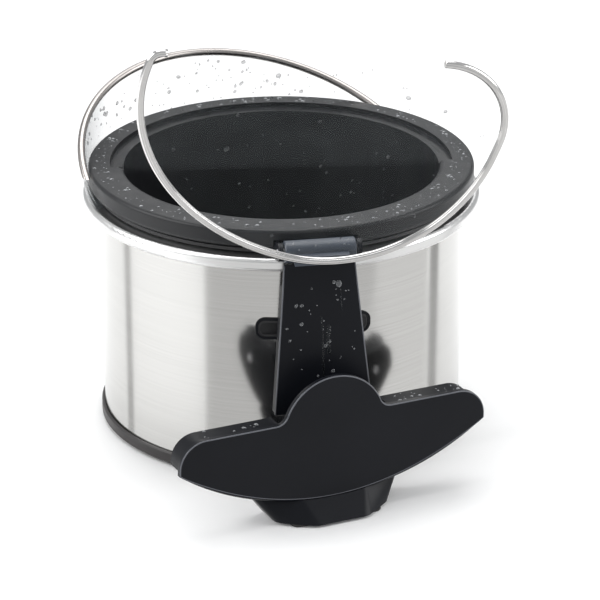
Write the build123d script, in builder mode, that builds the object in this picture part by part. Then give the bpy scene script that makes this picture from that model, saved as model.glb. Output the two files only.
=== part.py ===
"""Round slow cooker with a front-hinged glass lid, a clear splash guard and a drip stand.

Millimetres, +Z up. The origin is on the ground, under the middle of the cooker, and the front
faces -Y. The lid stands open on its stop, 10 degrees past upright.
"""

import math
import os

from build123d import *

os.makedirs("parts", exist_ok=True)

# ---- driving dimensions ----
FOOT_H = 2.0  # rubber feet under the base ring
BASE_R = 138.5  # black ring at the bottom of the housing
BASE_TOP = 11.0
SHELL_FOOT_R = 136.0  # steel wall, slightly wider at the top
SHELL_TOP_R = 137.5
SHELL_T = 1.0
SHELL_BOTTOM = 9.0
SHELL_TOP = 172.0
COLLAR_R = 150.0  # bright rolled rim on top of the wall
COLLAR_TOP = 182.5
SHEET_T = 1.4
WELL_R = 126.8  # heated pot inside the housing
WELL_FLOOR = 44.0
WELL_T = 1.2

SLOT_W = 82.0  # latch slot in the front of the wall
SLOT_H = 13.0
SLOT_Z = 123.0
PANEL_W = 120.0  # rear fascia with the control and the power inlet
PANEL_H = 32.0
PANEL_Z = 28.0
INLET_X = -42.0

CROCK_R = 123.5  # stoneware pot
CROCK_BOTTOM = 47.0
NECK_R = 138.0
FLANGE_R = 145.5
FLANGE_LOW = 188.0
FLANGE_TOP = 203.0
SEAT_R = 129.0  # recess that the rear pane lies in
SEAT_Z = 199.4
MOUTH_R = 119.0

HINGE_Y = -156.0  # axis of the lid hinge, along X
HINGE_Z = 191.5
LID_ANGLE = 100.0  # how far the lid stands open at rest
LID_LIFT = 15.6  # from the hinge axis to the middle of the glass
LID_MID = 119.0  # from the hinge axis to the lid's middle, where its curved front ends
LID_SIDE = 11.5
LID_TWIST = -20.0  # the lid's outline is turned in its own plane
LID_HALVES = (148.4, 116.0)  # from the middle to the left and right sides
LID_DEPTH = 119.8  # from the middle to the front
LID_ENDS = (9.0, 73.0)  # from the middle back to the left and right ends of the straight rear edge
LID_CORNERS = (9.0, 50.0)  # left and right rear corners
LID_TUBE_R = 2.7
GLASS_T = 3.4
KNUCKLE_R = 8.0
KNUCKLE_L = 52.0
PIN_R = 2.5
RUN_GAP = 0.05  # radial clearance where a shaft turns in a hole

GUARD_TURN = 115.5  # direction in which the guard is highest, from +X
GUARD_SLOPE = 26.2
GUARD_RING_R = 141.5
GUARD_SHIFT = 23.9
GUARD_RING_Z = 180.5
GUARD_TUBE_R = 2.9
GUARD_T = 1.8

COLUMN_LEAN = 9.0
COLUMN_TOP = 182.0
COLUMN_LENGTH = 112.0
COLUMN_TOP_HALF = 26.0
COLUMN_LOW_HALF = 36.0
COLUMN_T = 5.0

PIVOT_Y = -186.5  # upright pin that the drip tray swivels on
TRAY_YAW = 15.0
TRAY_BACK = -9.0  # depths along the tray's own forward direction
TRAY_FRONT = 9.0
COVER_T = 4.0
SWIVEL_PIN_R = 3.5
HUB_R = 7.5

KNOB_Z = 28.0
KNOB_R = 14.0
SHAFT_R = 3.0


def profile(*points):
    """Fill a closed straight-sided outline in the sketch that is open."""
    with BuildLine() as edge:
        Polyline(*points, close=True)
    make_face(edge.edges())


def sheet(points, thickness, radius, side=Side.LEFT):
    """Fill the section of a bent sheet that follows the given corners."""
    with BuildLine() as edge:
        FilletPolyline(*points, radius=radius)
        offset(amount=thickness, side=side)
    make_face(edge.edges())


def hoop(inner, outer, low, high):
    """Fill the section of a plain ring, to be revolved about the vertical axis."""
    profile((inner, low), (outer, low), (outer, high), (inner, high))


# ======================= housing =======================

with BuildPart() as outer_shell:
    with BuildSketch(Plane.XZ):
        profile(
            (SHELL_FOOT_R - SHELL_T, SHELL_BOTTOM),
            (SHELL_FOOT_R, SHELL_BOTTOM),
            (SHELL_TOP_R, SHELL_TOP),
            (SHELL_TOP_R - SHELL_T, SHELL_TOP),
        )
    revolve(axis=Axis.Z)
    with BuildSketch(Plane.XZ.offset(120)):
        with Locations((0, SLOT_Z)):
            RectangleRounded(SLOT_W, SLOT_H, 5)
    extrude(amount=30, mode=Mode.SUBTRACT)
    with BuildSketch(Plane.XZ.offset(-110)):
        with Locations((0, PANEL_Z)):
            Rectangle(PANEL_W, PANEL_H)
    extrude(amount=-40, mode=Mode.SUBTRACT)
outer_shell.part.label = "outer_shell"
export_step(outer_shell.part, "parts/outer_shell.step")

# The rolled rim: out over the top of the wall, up round the lip and back in over the well.
with BuildPart() as collar:
    with BuildSketch(Plane.XZ):
        sheet(
            [
                (SHELL_TOP_R - SHELL_T, SHELL_TOP + SHEET_T),
                (COLLAR_R - SHEET_T, SHELL_TOP + SHEET_T),
                (COLLAR_R - SHEET_T, COLLAR_TOP - SHEET_T),
                (128, COLLAR_TOP - SHEET_T),
            ],
            SHEET_T,
            2.2,
            Side.RIGHT,
        )
    revolve(axis=Axis.Z)
collar.part.label = "collar"
export_step(collar.part, "parts/collar.step")

with BuildPart() as heating_well:
    with BuildSketch(Plane.XZ):
        sheet(
            [
                (0, WELL_FLOOR),
                (WELL_R, WELL_FLOOR),
                (WELL_R, COLLAR_TOP - SHEET_T - WELL_T),
                (134, COLLAR_TOP - SHEET_T - WELL_T),
            ],
            WELL_T,
            4,
            Side.LEFT,
        )
    revolve(axis=Axis.Z)
heating_well.part.label = "heating_well"
export_step(heating_well.part, "parts/heating_well.step")

with BuildPart() as heater_band:
    with BuildSketch(Plane.XZ):
        hoop(WELL_R + 0.2, WELL_R + 2.2, 56, 92)
    revolve(axis=Axis.Z)
    with Locations((0, WELL_R, 74)):
        Box(4, 12, 40, mode=Mode.SUBTRACT)
heater_band.part.label = "heater_band"
export_step(heater_band.part, "parts/heater_band.step")

with BuildPart() as insulation_wrap:
    with BuildSketch(Plane.XZ):
        hoop(WELL_R + 2.6, WELL_R + 5.6, 50, 114)
    revolve(axis=Axis.Z)
insulation_wrap.part.label = "insulation_wrap"
export_step(insulation_wrap.part, "parts/insulation_wrap.step")

RIM_LEDGE_R = 114.0  # the base ring's inner ledge, which the base plate hangs under
PLATE_R = 117.7
with BuildPart() as base_ring:
    with BuildSketch(Plane.XZ):
        profile(
            (118, FOOT_H),
            (BASE_R - 1.2, FOOT_H),
            (BASE_R, FOOT_H + 1.2),
            (BASE_R, BASE_TOP - 1),
            (BASE_R - 0.8, BASE_TOP),
            (SHELL_FOOT_R + 0.4, BASE_TOP),
            (SHELL_FOOT_R + 0.4, SHELL_BOTTOM),
            (RIM_LEDGE_R, SHELL_BOTTOM),
            (RIM_LEDGE_R, 6),
            (118, 6),
        )
    revolve(axis=Axis.Z)
base_ring.part.label = "base_ring"
export_step(base_ring.part, "parts/base_ring.step")

POST_PCD_R = 90.0
SCREW_R = 1.7
with BuildPart() as base_plate:
    with Locations((0, 0, 4)):
        Cylinder(PLATE_R, 2, align=(Align.CENTER, Align.CENTER, Align.MIN))
    with BuildSketch(Plane.XY.offset(4)):
        with PolarLocations(55, 12):
            SlotOverall(26, 4)
    extrude(amount=2, mode=Mode.SUBTRACT)
    with PolarLocations(POST_PCD_R, 4, 45):
        Cylinder(SCREW_R + 0.2, 20, mode=Mode.SUBTRACT)
base_plate.part.label = "base_plate"
export_step(base_plate.part, "parts/base_plate.step")

# Four spacers carry the well above the base plate.
with BuildPart() as well_posts:
    with BuildSketch(Plane.XY.offset(6)):
        with PolarLocations(POST_PCD_R, 4, 45):
            Circle(5)
            Circle(SCREW_R + 0.1, mode=Mode.SUBTRACT)
    extrude(amount=WELL_FLOOR - 6)
well_posts.part.label = "well_posts"
export_step(well_posts.part, "parts/well_posts.step")

with BuildPart() as base_screws:
    with BuildSketch(Plane.XY.offset(2.2)):
        with PolarLocations(POST_PCD_R, 4, 45):
            Circle(3.4)
    extrude(amount=1.8)
    with BuildSketch(Plane.XY.offset(4)):
        with PolarLocations(POST_PCD_R, 4, 45):
            Circle(SCREW_R)
    extrude(amount=22)
    with BuildSketch(Plane.XY.offset(2.2)):
        with PolarLocations(POST_PCD_R, 4, 45):
            Rectangle(4.4, 0.9)
            Rectangle(0.9, 4.4)
    extrude(amount=0.9, mode=Mode.SUBTRACT)
base_screws.part.label = "base_screws"
export_step(base_screws.part, "parts/base_screws.step")

# Four feet under the ring, and a pad that keeps the middle of the plate from drumming.
with BuildPart() as feet:
    with BuildSketch(Plane.XY):
        with PolarLocations(127.5, 4, 45):
            Circle(8)
    extrude(amount=FOOT_H)
    with BuildSketch(Plane.XY):
        Circle(12)
    extrude(amount=4)
    chamfer(feet.faces().group_by(Axis.Z)[0].edges(), 0.5)
feet.part.label = "feet"
export_step(feet.part, "parts/feet.step")

# ---- electrical parts under the well and behind the rear fascia ----
with BuildPart() as thermostat:
    with BuildSketch(Plane.XY.offset(WELL_FLOOR)):
        Circle(11)
    extrude(amount=-7)
    with BuildSketch(Plane.XY.offset(WELL_FLOOR - 7)):
        with Locations((-6, 0), (6, 0)):
            Rectangle(3, 5)
    extrude(amount=-7)
thermostat.part.label = "thermostat"
export_step(thermostat.part, "parts/thermostat.step")

with BuildPart() as thermal_fuse:
    with BuildSketch(Plane.YZ.offset(30)):
        with Locations((0, WELL_FLOOR - 2.6)):
            Circle(2.5)
    extrude(amount=16)
    with BuildSketch(Plane.YZ.offset(20)):
        with Locations((0, WELL_FLOOR - 2.6)):
            Circle(0.6)
    extrude(amount=36)
thermal_fuse.part.label = "thermal_fuse"
export_step(thermal_fuse.part, "parts/thermal_fuse.step")

with BuildPart() as terminal_block:
    with Locations((-40, 60, 6)):
        Box(34, 14, 12, align=(Align.CENTER, Align.CENTER, Align.MIN))
    with BuildSketch(Plane.XY.offset(18)):
        with Locations((-40, 60)):
            with GridLocations(10, 1, 3, 1):
                Circle(2.6)
    extrude(amount=-6, mode=Mode.SUBTRACT)
terminal_block.part.label = "terminal_block"
export_step(terminal_block.part, "parts/terminal_block.step")

# The fascia fills the window in the wall and is curved like it.
FASCIA_IN = 128.5
FASCIA_OUT = 138.2
with BuildPart() as rear_fascia:
    with BuildSketch(Plane.XZ):
        hoop(FASCIA_IN, FASCIA_OUT, PANEL_Z - PANEL_H / 2 + 0.3, PANEL_Z + PANEL_H / 2 - 0.3)
    revolve(axis=Axis.Z)
    with Locations((0, 130, PANEL_Z)):
        Box(PANEL_W - 0.6, 60, PANEL_H + 10, mode=Mode.INTERSECT)
    with BuildSketch(Plane.XZ.offset(-132)):
        with Locations((0, KNOB_Z)):
            Circle(KNOB_R + 1.5)
    extrude(amount=-8)
    with BuildSketch(Plane.XZ.offset(-120)):
        with Locations((0, KNOB_Z)):
            Circle(SHAFT_R + RUN_GAP)
    extrude(amount=-30, mode=Mode.SUBTRACT)
    with BuildSketch(Plane.XZ.offset(-110)):
        with Locations((INLET_X, PANEL_Z)):
            RectangleRounded(25, 19, 3)
    extrude(amount=-40, mode=Mode.SUBTRACT)
rear_fascia.part.label = "rear_fascia"
export_step(rear_fascia.part, "parts/rear_fascia.step")

with BuildPart() as power_inlet:
    with BuildSketch(Plane.XZ.offset(-112)):
        with Locations((INLET_X, PANEL_Z)):
            RectangleRounded(24.6, 18.6, 2.8)
    extrude(amount=-24)
    with BuildSketch(Plane.XZ.offset(-118)):
        with Locations((INLET_X, PANEL_Z)):
            RectangleRounded(20, 14, 2)
    extrude(amount=-20, mode=Mode.SUBTRACT)
power_inlet.part.label = "power_inlet"
export_step(power_inlet.part, "parts/power_inlet.step")

with BuildPart() as inlet_pins:
    with BuildSketch(Plane.XZ.offset(-118)):
        with Locations((INLET_X - 5, PANEL_Z - 1.5), (INLET_X, PANEL_Z + 2), (INLET_X + 5, PANEL_Z - 1.5)):
            Rectangle(1.6, 4)
    extrude(amount=-13)
inlet_pins.part.label = "inlet_pins"
export_step(inlet_pins.part, "parts/inlet_pins.step")

with BuildPart() as heat_switch:
    with BuildSketch(Plane.XZ.offset(-108)):
        with Locations((0, KNOB_Z)):
            Rectangle(24, 22)
    extrude(amount=-19)
    fillet(heat_switch.edges().filter_by(Axis.Y), 2)
    with BuildSketch(Plane.XZ.offset(-116)):
        with Locations((0, KNOB_Z)):
            Circle(SHAFT_R + RUN_GAP)
    extrude(amount=-20, mode=Mode.SUBTRACT)
heat_switch.part.label = "heat_switch"
export_step(heat_switch.part, "parts/heat_switch.step")

# ---- latch slot in the front wall ----
LINER_BACK = 130.4
with BuildPart() as slot_liner:
    with BuildSketch(Plane.XZ.offset(LINER_BACK)):
        with Locations((0, SLOT_Z)):
            RectangleRounded(SLOT_W - 0.4, SLOT_H - 0.4, 4.8)
    extrude(amount=8)
    with BuildSketch(Plane.XZ.offset(LINER_BACK + 1.4)):
        with Locations((0, SLOT_Z)):
            RectangleRounded(SLOT_W - 3.6, SLOT_H - 3.6, 3.4)
    extrude(amount=20, mode=Mode.SUBTRACT)
    with BuildSketch(Plane.XY.offset(SLOT_Z - SLOT_H)):
        Circle(SHELL_TOP_R + 0.3)
    extrude(amount=2 * SLOT_H, mode=Mode.INTERSECT)
    with BuildSketch(Plane.XY.offset(SLOT_Z - SLOT_H)):
        Circle(WELL_R + WELL_T + 1)
    extrude(amount=2 * SLOT_H, mode=Mode.SUBTRACT)
slot_liner.part.label = "slot_liner"
export_step(slot_liner.part, "parts/slot_liner.step")

FRAME_PROUD = 0.9
with BuildPart() as slot_frame:
    with BuildSketch(Plane.XZ):
        hoop(SHELL_TOP_R + 0.05, SHELL_TOP_R + FRAME_PROUD, SLOT_Z - 14, SLOT_Z + 14)
    revolve(axis=Axis.Z)
    with BuildSketch(Plane.XZ.offset(100)):
        with Locations((0, SLOT_Z)):
            RectangleRounded(SLOT_W + 3.6, SLOT_H + 3.6, 6.8)
            RectangleRounded(SLOT_W - 0.2, SLOT_H - 0.2, 4.9, mode=Mode.SUBTRACT)
    extrude(amount=60, mode=Mode.INTERSECT)
slot_frame.part.label = "slot_frame"
export_step(slot_frame.part, "parts/slot_frame.step")

# ---- drip column: a leaning plate in front of the wall, latched into the slot ----
lean = math.radians(COLUMN_LEAN)
COLUMN = Plane(
    origin=(0, -157.4, COLUMN_TOP),
    x_dir=(1, 0, 0),
    z_dir=(0, -math.cos(lean), math.sin(lean)),
)
RETURN_TOP = 18.0
RETURN_DEPTH = 9.0


def column_half(depth):
    """Half width of the column at a distance down its face."""
    return COLUMN_TOP_HALF + (COLUMN_LOW_HALF - COLUMN_TOP_HALF) * depth / COLUMN_LENGTH


with BuildPart() as drip_column:
    with BuildSketch(COLUMN):
        profile(
            (-COLUMN_TOP_HALF, 0),
            (COLUMN_TOP_HALF, 0),
            (COLUMN_LOW_HALF, -COLUMN_LENGTH),
            (-COLUMN_LOW_HALF, -COLUMN_LENGTH),
        )
    extrude(amount=-COLUMN_T)
    chamfer(drip_column.faces().sort_by(Axis.Y)[0].edges(), 0.7)
    # side returns stiffen the plate
    for side in (-1, 1):
        with BuildSketch(COLUMN.offset(-COLUMN_T)):
            profile(
                (side * (column_half(RETURN_TOP) - 0.5), -RETURN_TOP),
                (side * (column_half(COLUMN_LENGTH) - 0.5), -COLUMN_LENGTH + 1),
                (side * (column_half(COLUMN_LENGTH) - 3.5), -COLUMN_LENGTH + 1),
                (side * (column_half(RETURN_TOP) - 3.5), -RETURN_TOP),
            )
        extrude(amount=-RETURN_DEPTH)
    # arm and hub that the tray's pin stands in
    with Locations((0, (PIVOT_Y - 171) / 2, 72)):
        Box(2 * HUB_R, abs(PIVOT_Y) - 171, 10, align=(Align.CENTER, Align.CENTER, Align.MIN))
    with Locations((0, PIVOT_Y, 48)):
        Cylinder(HUB_R, 34, align=(Align.CENTER, Align.CENTER, Align.MIN))
    with Locations((0, PIVOT_Y, 40)):
        Cylinder(SWIVEL_PIN_R + RUN_GAP, 36, align=(Align.CENTER, Align.CENTER, Align.MIN), mode=Mode.SUBTRACT)
drip_column.part.label = "drip_column"
export_step(drip_column.part, "parts/drip_column.step")

# The tongue runs from the back of the column into the liner, and a cleat spreads on the plate.
TONGUE_W = 40.0
TONGUE_H = 8.8
with BuildPart() as latch_tongue:
    with BuildSketch(Plane.XZ.offset(LINER_BACK + 1.6)):
        with Locations((0, SLOT_Z)):
            RectangleRounded(TONGUE_W, TONGUE_H, 3)
    extrude(amount=35)
    # everything in front of the column's rear face is cut away
    with BuildSketch(COLUMN.offset(-COLUMN_T)):
        Rectangle(200, 400)
    extrude(amount=60, mode=Mode.SUBTRACT)
    with BuildSketch(COLUMN.offset(-COLUMN_T)):
        with Locations((0, (SLOT_Z - COLUMN_TOP) / math.cos(lean))):
            RectangleRounded(TONGUE_W + 10, TONGUE_H + 8, 4)
    extrude(amount=-3)
latch_tongue.part.label = "latch_tongue"
export_step(latch_tongue.part, "parts/latch_tongue.step")

# ======================= crock and what is clamped to it =======================

twist = math.radians(LID_TWIST)
rear_slant = math.atan2(LID_ENDS[1] - LID_ENDS[0], sum(LID_HALVES))
PANE_OVERLAP = 16.0  # the lid's rear edge reaches this far over the pane


def rear_edge(across):
    """How far behind the lid's middle its rear edge lies, at a distance across the lid."""
    return LID_ENDS[0] + (across + LID_HALVES[0]) * math.tan(rear_slant)


def behind_pane_front():
    """Remove everything in front of the pane's straight front edge, which follows the closed lid's rear edge."""
    with Locations(Location((LID_SIDE, HINGE_Y + LID_MID, 0), (0, 0, LID_TWIST + math.degrees(rear_slant)))):
        with Locations((0, rear_edge(0) * math.cos(rear_slant) - PANE_OVERLAP)):
            Rectangle(600, 600, align=(Align.CENTER, Align.MAX), mode=Mode.SUBTRACT)


with BuildPart() as crock:
    with BuildSketch(Plane.XZ):
        with BuildLine():
            FilletPolyline(
                (0, CROCK_BOTTOM),
                (CROCK_R - 4, CROCK_BOTTOM),
                (CROCK_R, COLLAR_TOP - 2),
                radius=14,
            )
            Line((CROCK_R, COLLAR_TOP - 2), (CROCK_R, COLLAR_TOP))
            FilletPolyline(
                (CROCK_R, COLLAR_TOP),
                (NECK_R, COLLAR_TOP),
                (NECK_R, FLANGE_LOW),
                (FLANGE_R, FLANGE_LOW),
                (FLANGE_R, FLANGE_TOP),
                (MOUTH_R, FLANGE_TOP),
                (MOUTH_R - 5, CROCK_BOTTOM + 8),
                (0, CROCK_BOTTOM + 8),
                radius=[1.2, 1.6, 4.5, 3, 4.5, 18],
            )
            Line((0, CROCK_BOTTOM + 8), (0, CROCK_BOTTOM))
        make_face()
    revolve(axis=Axis.Z)
    # ledge for the rear pane
    with BuildSketch(Plane.XY.offset(SEAT_Z)):
        Circle(SEAT_R)
        behind_pane_front()
    extrude(amount=10, mode=Mode.SUBTRACT)
    # the flange is relieved in front for the hinge bracket
    with BuildSketch(Plane.XY.offset(COLLAR_TOP + 0.1)):
        with Locations((0, -FLANGE_R)):
            Rectangle(62.4, 40)
        Circle(NECK_R, mode=Mode.SUBTRACT)
    extrude(amount=13, mode=Mode.SUBTRACT)
crock.part.label = "crock"
export_step(crock.part, "parts/crock.step")

# black seal in the gap between the collar and the flange
BAND_IN = NECK_R + 0.15
BAND_OUT = NECK_R + 1.6
with BuildPart() as rim_band:
    with BuildSketch(Plane.XZ):
        hoop(BAND_IN, BAND_OUT, 183.6, 186.2)
    revolve(axis=Axis.Z)
rim_band.part.label = "rim_band"
export_step(rim_band.part, "parts/rim_band.step")

EAR_IN = KNUCKLE_L / 2 + 1
EAR_T = 3.5
EAR_R = 6.5
with BuildPart() as hinge_bracket:
    with BuildSketch(Plane.XZ):
        hoop(BAND_OUT + 0.05, BAND_OUT + 2.8, 185.2, 194)
    revolve(axis=Axis.Z)
    with Locations((0, -140, 190)):
        Box(2 * (EAR_IN + EAR_T), 30, 20, mode=Mode.INTERSECT)
    for side in (-1, 1):
        with BuildSketch(Plane.YZ.offset(side * EAR_IN)):
            with Locations((HINGE_Y, HINGE_Z)):
                Circle(EAR_R)
            with Locations(((HINGE_Y - 138.4) / 2, 189.8)):
                Rectangle(abs(HINGE_Y) - 138.4, 8.4)
        extrude(amount=side * EAR_T)
    with BuildSketch(Plane.XY.offset(180)):
        Circle(BAND_OUT + 0.05)
    extrude(amount=20, mode=Mode.SUBTRACT)
    with BuildSketch(Plane.YZ.offset(-40)):
        with Locations((HINGE_Y, HINGE_Z)):
            Circle(PIN_R + 0.02)
    extrude(amount=80, mode=Mode.SUBTRACT)
hinge_bracket.part.label = "hinge_bracket"
export_step(hinge_bracket.part, "parts/hinge_bracket.step")

with BuildPart() as hinge_pin:
    with BuildSketch(Plane.YZ.offset(-EAR_IN - EAR_T - 0.8)):
        with Locations((HINGE_Y, HINGE_Z)):
            Circle(PIN_R)
    extrude(amount=2 * (EAR_IN + EAR_T + 0.8))
    chamfer(hinge_pin.edges().filter_by(GeomType.CIRCLE), 0.5)
hinge_pin.part.label = "hinge_pin"
export_step(hinge_pin.part, "parts/hinge_pin.step")

# A fixed pane closes the rear of the mouth, behind the straight end of the lid.
PANE_T = 3.4
with BuildPart() as rear_pane:
    with BuildSketch(Plane.XY.offset(SEAT_Z)):
        Circle(SEAT_R - 1.8)
        behind_pane_front()
        offset(amount=-0.3)
    extrude(amount=PANE_T)
rear_pane.part.label = "rear_pane"
export_step(rear_pane.part, "parts/rear_pane.step")

# ======================= splash guard =======================

slope = math.radians(GUARD_SLOPE)
turn = math.radians(GUARD_TURN)
GUARD = Plane(
    origin=(GUARD_SHIFT * math.cos(turn), GUARD_SHIFT * math.sin(turn), GUARD_RING_Z),
    x_dir=(-math.sin(turn), math.cos(turn), 0),
    z_dir=(-math.sin(slope) * math.cos(turn), -math.sin(slope) * math.sin(turn), math.cos(slope)),
)
LIP_R = 141.8  # the wall's lip hooks in under the crock's flange
LIP_Z = 187.0
TRIM_END_Z = 199.8  # the trim stops here and the bare wall runs on down

with BuildPart() as guard_blank:
    with BuildSketch(Plane.XZ):
        with BuildLine():
            Polyline((146.6, LIP_Z), (LIP_R, LIP_Z), (LIP_R, LIP_Z - GUARD_T), (148.4, LIP_Z - GUARD_T))
            ThreePointArc((148.4, LIP_Z - GUARD_T), (153.1, 224), (152.8, 256))
            Line((152.8, 256), (151.0, 256))
            ThreePointArc((151.0, 256), (151.3, 224), (146.6, LIP_Z))
        make_face()
    revolve(axis=Axis.Z)
    with BuildSketch(GUARD):
        Rectangle(600, 600)
    extrude(amount=200, mode=Mode.SUBTRACT)

with BuildPart() as guard_trim:
    with BuildSketch(Plane(origin=GUARD.from_local_coords((GUARD_RING_R, 0, 0)), x_dir=GUARD.x_dir, z_dir=GUARD.y_dir)):
        Circle(GUARD_TUBE_R)
    revolve(axis=Axis(GUARD.origin, GUARD.z_dir))
    with BuildSketch(Plane.XY.offset(TRIM_END_Z)):
        Rectangle(500, 500)
    extrude(amount=-200, mode=Mode.SUBTRACT)
guard_trim.part.label = "guard_trim"
export_step(guard_trim.part, "parts/guard_trim.step")

# the wall ends in the trim's underside
with BuildPart() as guard_wall:
    add(guard_blank.part)
    add(guard_trim.part, mode=Mode.SUBTRACT)
guard_wall.part.label = "guard_wall"
export_step(guard_wall.part, "parts/guard_wall.step")

# ======================= lid =======================

opening = math.radians(LID_ANGLE)
LID = Plane(
    origin=(0, HINGE_Y, HINGE_Z),
    x_dir=(1, 0, 0),
    z_dir=(0, -math.sin(opening), math.cos(opening)),
)


LID_FACE = Plane(
    origin=LID.from_local_coords((LID_SIDE, LID_MID, LID_LIFT)),
    x_dir=LID.x_dir * math.cos(twist) + LID.y_dir * math.sin(twist),
    z_dir=LID.z_dir,
)


def lid_front(inset):
    """Draw the curved front of the lid's edge, about the lid's own middle."""
    left, right = LID_HALVES
    EllipticalCenterArc((0, 0), left - inset, LID_DEPTH - inset, 180, arc_size=90)
    EllipticalCenterArc((0, 0), right - inset, LID_DEPTH - inset, 270, arc_size=90)


GLASS_INSET = 1.0
with BuildPart() as lid_glass:
    with BuildSketch(LID_FACE.offset(-GLASS_T / 2)):
        with BuildLine():
            lid_front(GLASS_INSET)
            FilletPolyline(
                (LID_HALVES[1] - GLASS_INSET, 0),
                (LID_HALVES[1] - GLASS_INSET, LID_ENDS[1] - GLASS_INSET),
                (-LID_HALVES[0] + GLASS_INSET, LID_ENDS[0] - GLASS_INSET),
                (-LID_HALVES[0] + GLASS_INSET, 0),
                radius=[LID_CORNERS[1] - GLASS_INSET, LID_CORNERS[0] - GLASS_INSET],
            )
        make_face()
    extrude(amount=GLASS_T)
lid_glass.part.label = "lid_glass"
export_step(lid_glass.part, "parts/lid_glass.step")

# The steel ring holds the curved edge and both rear corners; the straight rear edge is bare glass.
RING_ENDS = (-139.0, 53.0)
with BuildPart() as lid_ring:
    with BuildLine(LID_FACE) as rim_path:
        FilletPolyline(
            (RING_ENDS[0], rear_edge(RING_ENDS[0])),
            (-LID_HALVES[0], LID_ENDS[0]),
            (-LID_HALVES[0], 0),
            radius=LID_CORNERS[0],
        )
        lid_front(0)
        FilletPolyline(
            (LID_HALVES[1], 0),
            (LID_HALVES[1], LID_ENDS[1]),
            (RING_ENDS[1], rear_edge(RING_ENDS[1])),
            radius=LID_CORNERS[1],
        )
    start = rim_path.wires()[0]
    with BuildSketch(Plane(origin=start @ 0, z_dir=start % 0)):
        Circle(LID_TUBE_R)
    sweep(path=start)
    add(lid_glass.part, mode=Mode.SUBTRACT)
lid_ring.part.label = "lid_ring"
export_step(lid_ring.part, "parts/lid_ring.step")

# The barrel turns on the pin, and its web carries the ring.
WEB_HALF = 20.0
with BuildPart() as lid_knuckle:
    with BuildSketch(Plane.YZ.offset(-KNUCKLE_L / 2)):
        with Locations((HINGE_Y, HINGE_Z)):
            Circle(KNUCKLE_R)
    extrude(amount=KNUCKLE_L)
    chamfer(lid_knuckle.edges().filter_by(GeomType.CIRCLE), 0.8)
    with BuildSketch(LID):
        with Locations((0, -1.5)):
            Rectangle(2 * WEB_HALF, 7)
    extrude(amount=LID_LIFT - LID_TUBE_R - 0.05)
    with BuildSketch(Plane.YZ.offset(-40)):
        with Locations((HINGE_Y, HINGE_Z)):
            Circle(PIN_R + RUN_GAP)
    extrude(amount=80, mode=Mode.SUBTRACT)
lid_knuckle.part.label = "lid_knuckle"
export_step(lid_knuckle.part, "parts/lid_knuckle.step")

# ======================= control knob =======================

KNOB_FACE = 141.0
KNOB_DEPTH = 15.0
with BuildPart() as control_knob:
    with BuildSketch(Plane.XZ.offset(-KNOB_FACE)):
        with Locations((0, KNOB_Z)):
            Circle(KNOB_R)
    extrude(amount=-KNOB_DEPTH, taper=3)
    fillet(control_knob.faces().sort_by(Axis.Y)[-1].edges(), 1.5)
    with BuildSketch(Plane.XZ.offset(-KNOB_FACE - 3)):
        with Locations((0, KNOB_Z)):
            with PolarLocations(KNOB_R + 0.2, 18):
                Circle(1.2)
    extrude(amount=-KNOB_DEPTH, mode=Mode.SUBTRACT)
    with Locations((0, KNOB_FACE + KNOB_DEPTH, KNOB_Z + 7)):
        Box(1.6, 2, 8, mode=Mode.SUBTRACT)
    with BuildSketch(Plane.XZ.offset(-KNOB_FACE)):
        with Locations((0, KNOB_Z)):
            Circle(SHAFT_R)
    extrude(amount=-9, mode=Mode.SUBTRACT)
control_knob.part.label = "control_knob"
export_step(control_knob.part, "parts/control_knob.step")

with BuildPart() as knob_shaft:
    with BuildSketch(Plane.XZ.offset(-117)):
        with Locations((0, KNOB_Z)):
            Circle(SHAFT_R)
    extrude(amount=-(KNOB_FACE + 9 - 117))
knob_shaft.part.label = "knob_shaft"
export_step(knob_shaft.part, "parts/knob_shaft.step")

# ======================= drip tray =======================

yaw = math.radians(TRAY_YAW)
TRAY = Plane(
    origin=(0, PIVOT_Y, 0),
    x_dir=(math.cos(yaw), math.sin(yaw), 0),
    z_dir=(math.sin(yaw), -math.cos(yaw), 0),
)
WING_TIP = 122.0
WING_TIP_LOW = 54.5
WING_LOW = 16.2
DOME_TOP = 110.3
DOME_R = 40.5
LEDGE_Z = 79.5


def wing_outline():
    """Draw the tray's winged front: a round dome, two wings with pointed lower tips and a bowed lower edge."""
    with BuildLine() as wings:
        FilletPolyline((0, LEDGE_Z), (WING_TIP, LEDGE_Z), (WING_TIP, WING_TIP_LOW), radius=21)
        ThreePointArc((WING_TIP, WING_TIP_LOW), (61, 24.3), (0, WING_LOW))
        mirror(about=Plane.YZ)
    make_face(wings.edges())
    with Locations((0, DOME_TOP - DOME_R)):
        Circle(DOME_R)
    on_ledge = vertices().filter_by_position(Axis.Y, LEDGE_Z - 0.1, LEDGE_Z + 0.1)
    fillet(on_ledge.filter_by_position(Axis.X, -60, 60), 9)


def boss_places():
    """Places of the four screws that hold the front cover, in the tray's own plane."""
    return ((-88, 62), (-34, 36), (34, 36), (88, 62))


BEVEL = 0.9
with BuildPart() as tray_cover:
    with BuildSketch(TRAY.offset(TRAY_FRONT)):
        wing_outline()
    extrude(amount=COVER_T - BEVEL)
    with BuildSketch(TRAY.offset(TRAY_FRONT + COVER_T - BEVEL)):
        wing_outline()
    extrude(amount=BEVEL, taper=45)
    with BuildSketch(TRAY.offset(TRAY_FRONT - 1)):
        with Locations(*boss_places()):
            Circle(SCREW_R)
    extrude(amount=3.4, mode=Mode.SUBTRACT)
tray_cover.part.label = "tray_cover"
export_step(tray_cover.part, "parts/tray_cover.step")

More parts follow.
